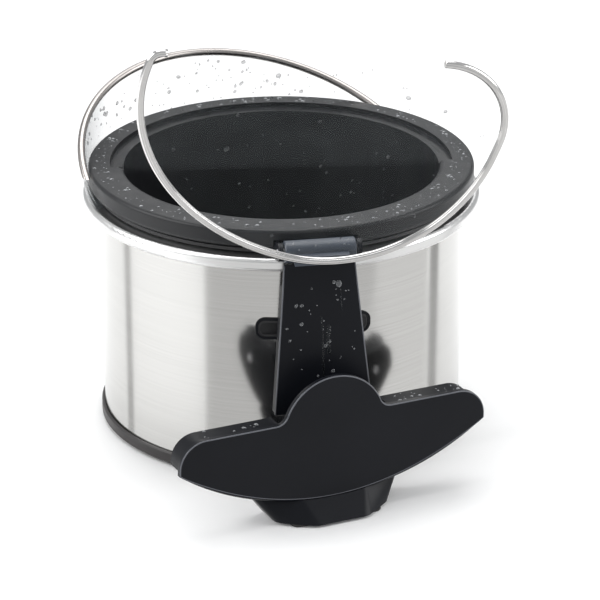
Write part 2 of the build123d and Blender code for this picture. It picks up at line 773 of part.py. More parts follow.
WALL = 2.6
YOKE_LEFT = 41.5  # the housing is cut away above YOKE_Z, so that it can turn past the column
YOKE_RIGHT = 46.0
YOKE_Z = 66.0
with BuildPart() as tray_housing:
    with BuildSketch(TRAY.offset(TRAY_BACK)):
        wing_outline()
        offset(amount=-2.4)
        with Locations((-YOKE_LEFT, YOKE_Z)):
            Rectangle(YOKE_LEFT + YOKE_RIGHT, 80, align=Align.MIN, mode=Mode.SUBTRACT)
    extrude(amount=TRAY_FRONT - TRAY_BACK)
    # hollow wings, closed by the cover
    with BuildSketch(TRAY.offset(TRAY_BACK + WALL)):
        wing_outline()
        offset(amount=-2.4 - WALL)
        with Locations((-YOKE_LEFT - WALL, YOKE_Z - WALL)):
            Rectangle(YOKE_LEFT + YOKE_RIGHT + 2 * WALL, 80, align=Align.MIN, mode=Mode.SUBTRACT)
        Rectangle(32, 400, mode=Mode.SUBTRACT)
        with Locations(*boss_places()):
            Circle(4.5, mode=Mode.SUBTRACT)
    extrude(amount=30, mode=Mode.SUBTRACT)
    # seat and clearance for the column's hub, and the pin's hole
    with Locations((0, PIVOT_Y, 47.2)):
        Cylinder(HUB_R + 0.8, 40, align=(Align.CENTER, Align.CENTER, Align.MIN), mode=Mode.SUBTRACT)
    with Locations((0, PIVOT_Y, 24)):
        Cylinder(SWIVEL_PIN_R, 40, align=(Align.CENTER, Align.CENTER, Align.MIN), mode=Mode.SUBTRACT)
    with BuildSketch(TRAY.offset(TRAY_BACK - 1)):
        with Locations(*boss_places()):
            Circle(SCREW_R + 0.1)
    extrude(amount=40, mode=Mode.SUBTRACT)
tray_housing.part.label = "tray_housing"
export_step(tray_housing.part, "parts/tray_housing.step")

with BuildPart() as swivel_pin:
    with Locations((0, PIVOT_Y, 24)):
        Cylinder(SWIVEL_PIN_R, 51, align=(Align.CENTER, Align.CENTER, Align.MIN))
    chamfer(swivel_pin.edges().sort_by(Axis.Z)[-1], 0.6)
swivel_pin.part.label = "swivel_pin"
export_step(swivel_pin.part, "parts/swivel_pin.step")

with BuildPart() as tray_screws:
    with BuildSketch(TRAY.offset(TRAY_BACK - 1.6)):
        with Locations(*boss_places()):
            Circle(3.2)
    extrude(amount=1.6)
    with BuildSketch(TRAY.offset(TRAY_BACK)):
        with Locations(*boss_places()):
            Circle(SCREW_R)
    extrude(amount=TRAY_FRONT - TRAY_BACK + 2)
tray_screws.part.label = "tray_screws"
export_step(tray_screws.part, "parts/tray_screws.step")

FOOT_BACK = -14.0
FOOT_SPREAD_Z = 30.0


def tray_plan(height):
    """The tray's own plane seen from above, at a height over the table; its y axis points back."""
    return Plane(origin=(0, PIVOT_Y, height), x_dir=TRAY.x_dir, z_dir=(0, 0, 1))


def foot_section(half, shoulder, front, radius):
    """Draw one level of the foot: straight behind and bowed in front, from depths along the tray's forward direction."""
    with BuildLine() as edge:
        FilletPolyline(
            (half, -FOOT_BACK),
            (half, -shoulder),
            (0.45 * half, -front),
            (-0.45 * half, -front),
            (-half, -shoulder),
            (-half, -FOOT_BACK),
            radius=radius,
        )
        Line((-half, -FOOT_BACK), (half, -FOOT_BACK))
    make_face(edge.edges())


# The foot reaches forward under the cover like the bow of a boat.
with BuildPart() as tray_foot:
    with BuildSketch(tray_plan(FOOT_H)):
        foot_section(46, 10, 28, 12)
    with BuildSketch(tray_plan(FOOT_SPREAD_Z)):
        foot_section(67, -6, 0, 6)
    loft()
    with BuildSketch(TRAY.offset(FOOT_BACK - 10)):
        wing_outline()
        offset(amount=-2.4)
    extrude(amount=80, mode=Mode.SUBTRACT)
    with BuildSketch(TRAY.offset(TRAY_FRONT)):
        wing_outline()
    extrude(amount=60, mode=Mode.SUBTRACT)
tray_foot.part.label = "tray_foot"
export_step(tray_foot.part, "parts/tray_foot.step")

with BuildPart() as tray_pad:
    with BuildSketch(tray_plan(0)):
        with Locations((0, -6)):
            RectangleRounded(72, 30, 6)
    extrude(amount=FOOT_H)
    chamfer(tray_pad.faces().sort_by(Axis.Z)[0].edges(), 0.5)
tray_pad.part.label = "tray_pad"
export_step(tray_pad.part, "parts/tray_pad.step")
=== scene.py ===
"""Looks for the slow cooker: materials, trim, water drops, studio light and camera.

Metres, +Z up, the front faces -Y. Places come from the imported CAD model.
"""

import math
import random

import bmesh
import bpy
from mathutils import Matrix, Vector


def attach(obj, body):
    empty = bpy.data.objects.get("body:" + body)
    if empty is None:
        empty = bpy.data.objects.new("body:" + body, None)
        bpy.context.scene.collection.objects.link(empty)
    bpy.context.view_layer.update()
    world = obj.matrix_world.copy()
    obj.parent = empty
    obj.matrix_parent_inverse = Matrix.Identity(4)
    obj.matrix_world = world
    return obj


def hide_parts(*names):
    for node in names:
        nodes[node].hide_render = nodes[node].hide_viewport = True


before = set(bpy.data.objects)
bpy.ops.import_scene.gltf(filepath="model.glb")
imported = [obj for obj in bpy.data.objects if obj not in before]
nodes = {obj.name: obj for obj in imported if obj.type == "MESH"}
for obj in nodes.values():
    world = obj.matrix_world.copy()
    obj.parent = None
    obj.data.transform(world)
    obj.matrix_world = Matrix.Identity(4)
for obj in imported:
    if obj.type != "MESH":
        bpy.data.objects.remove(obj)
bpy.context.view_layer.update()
scene = bpy.context.scene
scene.view_settings.view_transform = "Standard"

# ---- camera ----
CAMERA_AZIMUTH = math.radians(-10.4)
CAMERA_ELEVATION = math.radians(22.56)
CAMERA_DISTANCE = 3.0
CAMERA_TARGET = Vector((0.01394, -0.00271, 0.0886))

camera_data = bpy.data.cameras.new("camera")
camera_data.sensor_width = 36.0
camera_data.lens = 235.3
camera = bpy.data.objects.new("camera", camera_data)
scene.collection.objects.link(camera)
toward_camera = Vector((
    math.sin(CAMERA_AZIMUTH) * math.cos(CAMERA_ELEVATION),
    -math.cos(CAMERA_AZIMUTH) * math.cos(CAMERA_ELEVATION),
    math.sin(CAMERA_ELEVATION),
))
camera.location = CAMERA_TARGET + CAMERA_DISTANCE * toward_camera
camera.rotation_mode = "QUATERNION"
camera.rotation_quaternion = (-toward_camera).to_track_quat("-Z", "Y")
camera_data.clip_start = 0.1
camera_data.clip_end = 100.0
scene.camera = camera


# ---- helpers for node materials ----
class Look:
    """A Principled material with short calls for the textures behind its sockets."""

    def __init__(self, name, color, roughness, **sockets):
        self.mat = bpy.data.materials.new(name)
        self.mat.use_nodes = True
        self.tree = self.mat.node_tree
        self.bsdf = self.tree.nodes["Principled BSDF"]
        self.bsdf.inputs["Base Color"].default_value = (*color, 1.0)
        self.bsdf.inputs["Roughness"].default_value = roughness
        for socket, value in sockets.items():
            self.bsdf.inputs[socket.replace("_", " ")].default_value = value
        self.mat.diffuse_color = (*color, 1.0)
        self.color = color

    def node(self, kind, **settings):
        made = self.tree.nodes.new(kind)
        for key, value in settings.items():
            setattr(made, key, value)
        return made

    def link(self, source, target):
        self.tree.links.new(source, target)

    def noise(self, scale, stretch=(1, 1, 1), detail=3.0, rough=0.5, distortion=0.0):
        """Noise over the object's own coordinates, as a 0 to 1 factor."""
        place = self.node("ShaderNodeTexCoord")
        mapping = self.node("ShaderNodeMapping")
        mapping.inputs["Scale"].default_value = stretch
        texture = self.node("ShaderNodeTexNoise")
        texture.inputs["Scale"].default_value = scale
        texture.inputs["Detail"].default_value = detail
        texture.inputs["Roughness"].default_value = rough
        texture.inputs["Distortion"].default_value = distortion
        self.link(place.outputs["Object"], mapping.inputs["Vector"])
        self.link(mapping.outputs["Vector"], texture.inputs["Vector"])
        return texture.outputs["Fac"]

    def spread(self, factor, low, high, start=0.3, end=0.7):
        """A factor stretched to run from low to high."""
        ranged = self.node("ShaderNodeMapRange")
        ranged.inputs["From Min"].default_value = start
        ranged.inputs["From Max"].default_value = end
        ranged.inputs["To Min"].default_value = low
        ranged.inputs["To Max"].default_value = high
        self.link(factor, ranged.inputs["Value"])
        return ranged.outputs["Result"]

    def vary_color(self, factor, other, start=0.3, end=0.7):
        """Mixes the base colour with another one by a factor."""
        mix = self.node("ShaderNodeMix", data_type="RGBA")
        mix.inputs["A"].default_value = (*self.color, 1.0)
        mix.inputs["B"].default_value = (*other, 1.0)
        self.link(self.spread(factor, 0.0, 1.0, start, end), mix.inputs["Factor"])
        self.link(mix.outputs["Result"], self.bsdf.inputs["Base Color"])
        return self

    def vary_roughness(self, factor, low, high):
        self.link(self.spread(factor, low, high), self.bsdf.inputs["Roughness"])
        return self

    def bump(self, factor, strength, distance):
        """Adds relief; calls can be chained."""
        bump = self.node("ShaderNodeBump")
        bump.inputs["Strength"].default_value = strength
        bump.inputs["Distance"].default_value = distance
        self.link(factor, bump.inputs["Height"])
        earlier = self.bsdf.inputs["Normal"].links
        if earlier:
            self.link(earlier[0].from_socket, bump.inputs["Normal"])
        self.link(bump.outputs["Normal"], self.bsdf.inputs["Normal"])
        return self

    def around(self):
        """Turns the anisotropic highlight round the vertical axis."""
        tangent = self.node("ShaderNodeTangent", direction_type="RADIAL", axis="Z")
        self.link(tangent.outputs["Tangent"], self.bsdf.inputs["Tangent"])
        return self


EVEN = (60, 60, 60)  # texture scale of steel that shows no brushing direction


def steel(name, color, roughness, anisotropy=0.0, lines=(5, 5, 1500), relief=0.00001):
    """Metal with fine brushing; lines gives the texture's scale along x, y and z."""
    look = Look(name, color, roughness, Metallic=1.0, Anisotropic=anisotropy)
    brushing = look.noise(1.0, lines, detail=4.0, rough=0.65)
    clouds = look.noise(9.0, detail=2.0)
    darker = tuple(c * 0.9 for c in color)
    look.vary_color(brushing, darker, 0.35, 0.75)
    look.vary_roughness(clouds, roughness * 0.85, roughness * 1.2)
    look.bump(brushing, 0.08, relief)
    if anisotropy:
        look.around()
    return look


def plastic(name, color, roughness, grain=2600.0, relief=0.00004, strength=0.35, shine=0.5):
    """Moulded plastic with a fine spark grain and faint flow marks."""
    look = Look(name, color, roughness, Specular_IOR_Level=shine)
    fine = look.noise(grain, detail=1.0)
    clouds = look.noise(14.0, detail=3.0)
    lighter = tuple(min(1.0, c * 1.3 + 0.001) for c in color)
    look.vary_color(clouds, lighter, 0.35, 0.8)
    look.vary_roughness(clouds, roughness * 0.88, roughness * 1.15)
    look.bump(fine, strength, relief)
    return look


# ---- materials ----
wall_steel = steel("wall_steel", (0.6, 0.595, 0.58), 0.14, 0.45)
collar_steel = steel("collar_steel", (0.81, 0.81, 0.805), 0.3, 0.2, (4, 4, 2200))
bright_steel = steel("bright_steel", (0.74, 0.73, 0.72), 0.14, 0.0, EVEN, 0.000004)
# painted reflection: the guard trim's steel is darker and warmer than bare steel, for the warm brown
# it reflects
trim_steel_painted_reflection = steel("trim_steel_painted_reflection", (0.42, 0.395, 0.38), 0.26, 0.0, EVEN, 0.000004)
screw_steel = steel("screw_steel", (0.6, 0.6, 0.62), 0.3, 0.0, (500, 500, 500), 0.00001)
spun_metal = steel("spun_metal", (0.78, 0.79, 0.8), 0.35, 0.5, (8, 8, 900), 0.00002)
plate_metal = steel("plate_metal", (0.62, 0.63, 0.64), 0.4, 0.0, (40, 900, 40), 0.00002)
brass = steel("brass", (0.8, 0.62, 0.3), 0.25, 0.0, (300, 300, 300), 0.00001)

black_plastic = plastic("black_plastic", (0.0052, 0.0060, 0.0088), 0.36, shine=0.19)
housing_plastic = plastic("housing_plastic", (0.0050, 0.0057, 0.0082), 0.46, shine=0.16)
rear_plastic = plastic("rear_plastic", (0.016, 0.016, 0.019), 0.42)
knob_plastic = plastic("knob_plastic", (0.02, 0.02, 0.022), 0.33)
inner_plastic = plastic("inner_plastic", (0.03, 0.03, 0.032), 0.5)
knuckle_plastic = plastic("knuckle_plastic", (0.042, 0.052, 0.07), 0.34)
# painted highlight: a lighter grey for the beads along the tray's and the column's arrises
highlight_painted_plastic = plastic("highlight_painted_plastic", (0.10, 0.105, 0.12), 0.3)
base_plastic = plastic("base_plastic", (0.03, 0.027, 0.027), 0.42, grain=1800.0, shine=0.35)
rubber = plastic("rubber", (0.022, 0.021, 0.021), 0.75, grain=1200.0, relief=0.00008)

# Black glaze: satin, with pinhead pitting and a slightly uneven coat.
glaze = Look("glaze", (0.012, 0.0125, 0.014), 0.36, Specular_IOR_Level=0.33)
glaze_pits = glaze.noise(1500.0, detail=2.0)
glaze_waves = glaze.noise(60.0, detail=3.0)
glaze.vary_color(glaze_waves, (0.015, 0.016, 0.018), 0.4, 0.75)
glaze.vary_roughness(glaze_waves, 0.3, 0.44)
glaze.bump(glaze_waves, 0.08, 0.0003).bump(glaze_pits, 0.1, 0.00003)

insulation = Look("insulation", (0.8, 0.77, 0.7), 0.95)
insulation_felt = insulation.noise(420.0, (1, 1, 3), detail=5.0)
insulation.vary_color(insulation_felt, (0.62, 0.58, 0.5)).bump(insulation_felt, 0.7, 0.0006)

heater = Look("heater", (0.36, 0.3, 0.24), 0.45, Metallic=0.4)
heater_wraps = heater.noise(1.0, (3, 3, 700), detail=2.0)
heater.vary_color(heater_wraps, (0.5, 0.44, 0.36)).bump(heater_wraps, 0.5, 0.0003)


def glass(name, clear, edge, shine=0.8):
    """Clear glass: nearly unseen face on, with a dark base colour that shows more towards its edges as
    painted shade, and faint dried streaks.
    """
    look = Look(name, (0.10, 0.115, 0.12), 0.03, IOR=1.5, Specular_IOR_Level=shine)
    facing = look.node("ShaderNodeLayerWeight")
    facing.inputs["Blend"].default_value = 0.35
    smear = look.noise(7.0, (3, 3, 0.7), detail=4.0, distortion=1.2)
    film = look.spread(smear, 0.0, 0.03, 0.5, 0.85)
    body = look.spread(facing.outputs["Facing"], clear, edge, 0.3, 1.0)
    total = look.node("ShaderNodeMath", operation="ADD")
    look.link(film, total.inputs[0])
    look.link(body, total.inputs[1])
    look.link(total.outputs["Value"], look.bsdf.inputs["Alpha"])
    look.vary_roughness(smear, 0.02, 0.12)
    look.mat.diffuse_color = (0.9, 0.92, 0.93, 0.25)
    return look


lid_glass = glass("lid_glass", 0.035, 0.6)
guard_glass = glass("guard_glass", 0.05, 0.75)
pane_glass = glass("pane_glass", 0.01, 0.06, shine=0.2)


def water_look(name, color, clear, edge):
    """Still water: clear in the middle of a drop, stronger round its rim, with a sharp coat. Its
    colour is painted light: light grey paints the highlights of drops on dark surfaces, near black
    paints the dark refracted look of drops on glass and of the column's runs.
    """
    look = Look(name, color, 0.03, IOR=1.33, Coat_Weight=1.0, Coat_Roughness=0.02)
    rim = look.node("ShaderNodeLayerWeight")
    rim.inputs["Blend"].default_value = 0.45
    look.link(look.spread(rim.outputs["Facing"], clear, edge, 0.1, 0.9), look.bsdf.inputs["Alpha"])
    look.vary_roughness(look.noise(90.0), 0.01, 0.04)
    return look


# painted shade: a near-black base colour for the dark refracted look of drops on glass and of the runs
# on the column
water_painted_shade = water_look("water_painted_shade", (0.05, 0.055, 0.06), 0.22, 0.75)
# painted highlight: a light grey base colour for the bright reflections of drops on dark surfaces; the
# coat adds real gloss as well
water_painted_highlight = water_look("water_painted_highlight", (0.55, 0.57, 0.59), 0.2, 0.8)

NODE_LOOKS = {
    "outer_shell": wall_steel,
    "collar": collar_steel,
    "heating_well": spun_metal,
    "heater_band": heater,
    "insulation_wrap": insulation,
    "base_ring": base_plastic,
    "base_plate": plate_metal,
    "well_posts": screw_steel,
    "base_screws": screw_steel,
    "feet": rubber,
    "thermostat": spun_metal,
    "thermal_fuse": spun_metal,
    "terminal_block": inner_plastic,
    "rear_fascia": rear_plastic,
    "power_inlet": inner_plastic,
    "inlet_pins": brass,
    "heat_switch": inner_plastic,
    "slot_liner": inner_plastic,
    "slot_frame": black_plastic,
    "drip_column": black_plastic,
    "latch_tongue": black_plastic,
    "crock": glaze,
    "rim_band": inner_plastic,
    "hinge_bracket": black_plastic,
    "hinge_pin": screw_steel,
    "rear_pane": pane_glass,
    "guard_wall": guard_glass,
    "guard_trim": trim_steel_painted_reflection,
    "lid_glass": lid_glass,
    "lid_ring": bright_steel,
    "lid_knuckle": knuckle_plastic,
    "control_knob": knob_plastic,
    "knob_shaft": brass,
    "tray_cover": black_plastic,
    "tray_housing": housing_plastic,
    "swivel_pin": screw_steel,
    "tray_screws": screw_steel,
    "tray_foot": black_plastic,
    "tray_pad": rubber,
}
for node_name, look in NODE_LOOKS.items():
    if node_name in nodes:
        mesh = nodes[node_name].data
        mesh.materials.clear()
        mesh.materials.append(look.mat)


# ---- new pieces ----
def piece(name, mesh, look, body):
    """Adds a mesh as a visible piece that rides on a CAD body."""
    mesh.materials.append(look.mat)
    made = bpy.data.objects.new(name, mesh)
    scene.collection.objects.link(made)
    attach(made, body)
    return made


def smooth(mesh):
    for face in mesh.polygons:
        face.use_smooth = True


def oval(wide, high, steps):
    """Points of an oval section, from its half width and half height."""
    turns = [2 * math.pi * k / steps for k in range(steps)]
    return [(wide * math.cos(a), high * math.sin(a)) for a in turns]


def swept(name, path, section, normal, closed=False):
    """A tube along a flat path; section points are (outward, along normal) pairs."""
    vertices, faces = [], []
    count, ring = len(path), len(section)
    for i, point in enumerate(path):
        before = path[i - 1] if i or closed else point
        after = path[(i + 1) % count] if i < count - 1 or closed else point
        along = (after - before).normalized()
        out = along.cross(normal).normalized()
        for a, b in section:
            vertices.append(point + a * out + b * normal)
    spans = count if closed else count - 1
    for i in range(spans):
        j = (i + 1) % count
        for k in range(ring):
            m = (k + 1) % ring
            faces.append((i * ring + k, i * ring + m, j * ring + m, j * ring + k))
    if not closed:
        faces.append(tuple(range(ring))[::-1])
        faces.append(tuple((count - 1) * ring + k for k in range(ring)))
    mesh = bpy.data.meshes.new(name)
    mesh.from_pydata([tuple(v) for v in vertices], [], faces)
    smooth(mesh)
    if not closed:
        for face in list(mesh.polygons)[-2:]:
            face.use_smooth = False
    mesh.update()
    return mesh


# ---- the lid's ring: a rolled tube with fine grooves along it ----
HINGE = Vector((0.0, -0.156, 0.1915))
LID_ANGLE = math.radians(100.0)
LID_TWIST = math.radians(-20.0)
LID_LIFT = 0.0156
LID_SIDE, LID_MID = 0.0115, 0.119
LID_HALVES, LID_DEPTH = (0.1484, 0.116), 0.1198
LID_ENDS = (0.009, 0.073)
LID_CORNERS = (0.009, 0.050)
RING_ENDS = (-0.139, 0.053)
RING_R, RING_GROOVES, RING_GROOVE_DEPTH = 0.0028, 5, 0.0005
RING_STEPS = 120  # along the front of the ring

lid_x = Vector((1, 0, 0))
lid_y = Vector((0, math.cos(LID_ANGLE), math.sin(LID_ANGLE)))
lid_n = Vector((0, -math.sin(LID_ANGLE), math.cos(LID_ANGLE)))
lid_s = lid_x * math.cos(LID_TWIST) + lid_y * math.sin(LID_TWIST)
lid_t = lid_y * math.cos(LID_TWIST) - lid_x * math.sin(LID_TWIST)
lid_middle = HINGE + lid_x * LID_SIDE + lid_y * LID_MID + lid_n * LID_LIFT


def on_lid(s, t, lift=0.0):
    """A point of the lid, from coordinates about its own middle."""
    return lid_middle + lid_s * s + lid_t * t + lid_n * lift


def rear_edge(across):
    """The point of the lid's straight rear edge at a distance across the lid."""
    left, right = LID_ENDS
    return Vector((across, left + (right - left) * (across + LID_HALVES[0]) / sum(LID_HALVES)))


def rounded(corner, before, after, radius, steps=18):
    """Points of the arc that rounds a corner between its two neighbours."""
    into, out = (before - corner).normalized(), (after - corner).normalized()
    half = into.angle(out) / 2
    middle = corner + (into + out).normalized() * (radius / math.sin(half))
    first = corner + into * (radius / math.tan(half)) - middle
    turn = math.pi - 2 * half
    if first.cross(corner + out * (radius / math.tan(half)) - middle) < 0:
        turn = -turn
    points = []
    for i in range(steps + 1):
        c, n = math.cos(turn * i / steps), math.sin(turn * i / steps)
        points.append(middle + Vector((first.x * c - first.y * n, first.x * n + first.y * c)))
    return points


def lid_path():
    """The ring's centre line, from the left rear end round the front to the right rear end."""
    left, right = LID_HALVES
    points = [rear_edge(RING_ENDS[0])]
    points += rounded(rear_edge(-left), rear_edge(0), Vector((-left, 0)), LID_CORNERS[0])
    for i in range(RING_STEPS + 1):
        a = math.radians(180 + 180 * i / RING_STEPS)
        half = left if i < RING_STEPS // 2 else right
        points.append(Vector((half * math.cos(a), LID_DEPTH * math.sin(a))))
    points += rounded(rear_edge(right), Vector((right, 0)), rear_edge(0), LID_CORNERS[1])
    points.append(rear_edge(RING_ENDS[1]))
    return points


def grooved(radius, grooves, depth, steps=48):
    """A round section with shallow grooves."""
    points = []
    for i in range(steps):
        a = 2 * math.pi * i / steps
        r = radius - depth * max(0.0, math.cos(grooves * a)) ** 6
        points.append((r * math.cos(a), r * math.sin(a)))
    return points


ring_mesh = swept(
    "lid_ring_rolled",
    [on_lid(s, t) for s, t in lid_path()],
    grooved(RING_R, RING_GROOVES, RING_GROOVE_DEPTH),
    lid_n,
)
ring_piece = piece("lid_ring_rolled", ring_mesh, bright_steel, "lid")
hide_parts("lid_ring")


# ---- painted highlights: lighter grey beads along the plates' arrises, where they catch the light ----
PIVOT = Vector((0.0, -0.1865, 0.0))
TRAY_YAW = math.radians(15.0)
TRAY_FACE = 0.0125  # from the pivot forward to the plate's front
LEDGE_Z, DOME_R, DOME_Z = 0.0795, 0.0405, 0.0698
HOLLOW_R = 0.009  # where the dome runs into the wings
WING_TIP, WING_TIP_LOW, WING_TIP_R = 0.122, 0.0545, 0.021
WING_LOW, WING_BOW = 0.0162, 2.57
BEAD_R = 0.0006

COLUMN_LEAN = math.radians(9.0)
COLUMN_TOP_HALF, COLUMN_FLARE = 0.026, 0.010
COLUMN_LENGTH = 0.112

tray_x = Vector((math.cos(TRAY_YAW), math.sin(TRAY_YAW), 0))
tray_out = Vector((math.sin(TRAY_YAW), -math.cos(TRAY_YAW), 0))


def on_tray(s, z, depth):
    """A point in the tray's own directions: across, height, and forward of the pivot."""
    return PIVOT + tray_x * s + Vector((0, 0, z)) + tray_out * depth


def arc(center, radius, start, end, steps):
    """Points of an arc, with angles in degrees."""
    points = []
    for i in range(steps + 1):
        a = math.radians(start + (end - start) * i / steps)
        points.append((center[0] + radius * math.cos(a), center[1] + radius * math.sin(a)))
    return points


def wing_path(inset):
    """The outline of the tray's front plate, once round, moved inwards a little."""
    hollow_z = LEDGE_Z + HOLLOW_R
    hollow_x = math.sqrt((DOME_R + HOLLOW_R) ** 2 - (hollow_z - DOME_Z) ** 2)
    meet = math.degrees(math.atan2(hollow_z - DOME_Z, hollow_x))
    half = arc((0, DOME_Z), DOME_R - inset, 90, meet, 24)
    half += arc((hollow_x, hollow_z), HOLLOW_R + inset, meet + 180, 270, 10)
    half += arc((WING_TIP - WING_TIP_R, LEDGE_Z - WING_TIP_R), WING_TIP_R - inset, 90, 0, 14)
    half.append((WING_TIP - inset, WING_TIP_LOW + inset * 0.7))
    for i in range(1, 30):
        x = WING_TIP * (1 - i / 30)
        half.append((x, WING_LOW + inset + WING_BOW * x * x))
    half.append((0, WING_LOW + inset))
    return half + [(-x, z) for x, z in half[-2:0:-1]]


bead = oval(BEAD_R, BEAD_R, 10)
tray_line = [on_tray(x, z, TRAY_FACE) for x, z in wing_path(BEAD_R)]
tray_edge_highlight = swept("tray_edge_highlight", tray_line, bead, tray_out, closed=True)
piece("tray_edge_highlight", tray_edge_highlight, highlight_painted_plastic, "tray")

column_top = Vector((0, -0.1574, 0.182))
column_down = Vector((0, -math.sin(COLUMN_LEAN), -math.cos(COLUMN_LEAN)))
column_out = Vector((0, -math.cos(COLUMN_LEAN), math.sin(COLUMN_LEAN)))


def on_column(s, down, lift=0.0):
    """A point of the drip column's face: across, down from its top, and out of it."""
    return column_top + Vector((s, 0, 0)) + column_down * down + column_out * lift


def column_half(down):
    """Half the column's width at a distance down its face."""
    return COLUMN_TOP_HALF + COLUMN_FLARE * down / COLUMN_LENGTH


SUNK = 0.0004  # how far the column's beads sit inside its arrises
for name, side in (("column_edge_highlight_left", -1), ("column_edge_highlight_right", 1)):
    line = [on_column(side * (column_half(d) - SUNK), d, -SUNK) for d in (0.001, 0.04, 0.08, 0.111)]
    piece(name, swept(name, line, bead, column_out), highlight_painted_plastic, "housing")


# ---- water drops: flattened caps with a slightly uneven outline ----
DROP_SIDES = 14
DROP_UNEVEN = 0.12
DROP_LEVELS = ((1.0, -0.15), (0.98, 0.3), (0.8, 0.68), (0.45, 0.93))  # (width, height) of each ring
DROP_RISE = 0.55  # height of a drop as a share of its radius
DEW, BIG_DROP = 0.0005, 0.0018


def add_drop(bm, place, out, size, lift, squash=1.0, turn=0.0):
    """One drop on a surface: out is the surface's outward direction."""
    sides = DROP_SIDES
    side = out.orthogonal().normalized()
    side = Matrix.Rotation(turn, 3, out) @ side
    other = out.cross(side)
    wobble = [1.0 + DROP_UNEVEN * math.sin(4 * math.pi * k / sides + turn * 3) for k in range(sides)]
    rings = []
    for width, height in DROP_LEVELS:
        ring = []
        for k in range(sides):
            a = 2 * math.pi * k / sides
            r = size * width * wobble[k]
            flat = place + side * (r * math.cos(a)) + other * (r * math.sin(a) * squash)
            ring.append(bm.verts.new(flat + out * (lift * height)))
        rings.append(ring)
    top = bm.verts.new(place + out * lift)
    for low, high in zip(rings, rings[1:]):
        for k in range(sides):
            bm.faces.new((low[k], low[(k + 1) % sides], high[(k + 1) % sides], high[k]))
    for k in range(sides):
        bm.faces.new((rings[-1][k], rings[-1][(k + 1) % sides], top))
    bm.faces.new(rings[0][::-1])


def mesh_of(name, bm):
    """A smooth mesh from a finished bmesh."""
    mesh = bpy.data.meshes.new(name)
    bm.to_mesh(mesh)
    bm.free()
    smooth(mesh)
    return mesh


def drops(name, body, places, look=water_painted_highlight):
    """Joins the drops of one surface into one piece that rides on a body."""
    bm = bmesh.new()
    for place, out, size, squash, turn in places:
        add_drop(bm, place, out, size, size * DROP_RISE, squash, turn)
    piece(name, mesh_of(name, bm), look, body)


def drop(place, out, scale, low, high):
    """One random drop as (point, outward, size, squash, turn): mostly fine dew, a few larger ones."""
    size = (DEW + (BIG_DROP - DEW) * random.random() ** 3) * scale
    return place, out, size, random.uniform(low, high), random.uniform(0, 3)


def around_z(radius, angle, height=0.0):
    """A point round the cooker's upright axis."""
    return Vector((radius * math.cos(angle), radius * math.sin(angle), height))


UP = Vector((0, 0, 1))
EDGE_GAP = 0.004  # bare margin at the lid's rear edge
GUARD_GAP = 0.006  # bare margin below the guard's top
random.seed(7)

# on the crock's rim, but not under the rear pane
RIM_TOP, RIM_INNER, RIM_OUTER = 0.2029, 0.1265, 0.1415
PANE_FRONT, PANE_R = -0.02, 0.131
rim_places = []
for _ in range(420):
    angle = random.uniform(0, 2 * math.pi)
    radius = random.uniform(RIM_INNER, RIM_OUTER)
    place = around_z(radius, angle, RIM_TOP)
    if place.y > PANE_FRONT and radius < PANE_R:
        continue
    rim_places.append(drop(place, UP, 0.85, 0.75, 1.2))
drops("water_on_rim", "crock", rim_places)

# on both faces of the lid's glass
GLASS_FACE = 0.00165
NEAR_RING = 0.82  # share of the ring's outline, squared, beyond which the glass stays dry
lid_places = []
while len(lid_places) < 90:
    s, t = random.uniform(-0.125, 0.125), random.uniform(-0.115, 0.04)
    half = LID_HALVES[0 if s < 0 else 1]
    near_ring = (s / half) ** 2 + (min(t, 0) / LID_DEPTH) ** 2 > NEAR_RING
    if near_ring or t > rear_edge(s).y - EDGE_GAP:
        continue
    face = random.choice((-1, 1))
    lid_places.append(drop(on_lid(s, t, face * GLASS_FACE), lid_n * face, 0.9, 0.8, 1.5))
drops("water_on_lid", "lid", lid_places, water_painted_shade)

# on the column: fine drops, and one bigger round drop with a run below it
column_places = []
for _ in range(34):
    down = random.uniform(0.012, 0.085)
    across = random.uniform(-0.9, 0.9) * column_half(down)
    column_places.append(drop(on_column(across, down, 0.00005), column_out, 0.8, 0.8, 1.3))
column_places.append((on_column(0.0135, 0.0165), column_out, 0.0024, 1.0, 0.0))
drops("water_on_column", "housing", column_places)

# threads of water down the column
for name, spots, width in (
    ("water_run_a", [(0.0145, 0.019), (0.0150, 0.026), (0.0152, 0.036)], 0.0005),
    ("water_run_b", [(0.0005, 0.040), (0.0010, 0.055), (0.0004, 0.072), (0.0008, 0.092)], 0.0008),
    ("water_run_c", [(0.0055, 0.046), (0.0045, 0.060), (0.0052, 0.068)], 0.0016),
):
    thread = swept(name, [on_column(*spot) for spot in spots], oval(width, 0.3 * width, 8), column_out)
    piece(name, thread, water_painted_shade, "housing")

# on the ledge of the tray, most of it on the right
TRAY_LEDGE_Z, TRAY_LEDGE_HALF = 0.07712, 0.0075
ledge_places = []
for _ in range(38):
    across = random.uniform(0.056, 0.108) if random.random() < 0.75 else random.uniform(-0.105, -0.055)
    place = on_tray(across, TRAY_LEDGE_Z, random.uniform(-TRAY_LEDGE_HALF, TRAY_LEDGE_HALF))
    ledge_places.append(drop(place, UP, 1.0, 0.8, 1.3))
drops("water_on_tray", "tray", ledge_places)

# on the upper front of the lid's knuckle
KNUCKLE_R, KNUCKLE_HALF = 0.00802, 0.022
knuckle_places = []
for _ in range(12):
    a = math.radians(random.uniform(25, 75))
    out = Vector((0, -math.cos(a), math.sin(a)))
    place = HINGE + Vector((random.uniform(-KNUCKLE_HALF, KNUCKLE_HALF), 0, 0)) + out * KNUCKLE_R
    knuckle_places.append(drop(place, out, 0.8, 0.8, 1.3))
drops("water_on_knuckle", "lid", knuckle_places)

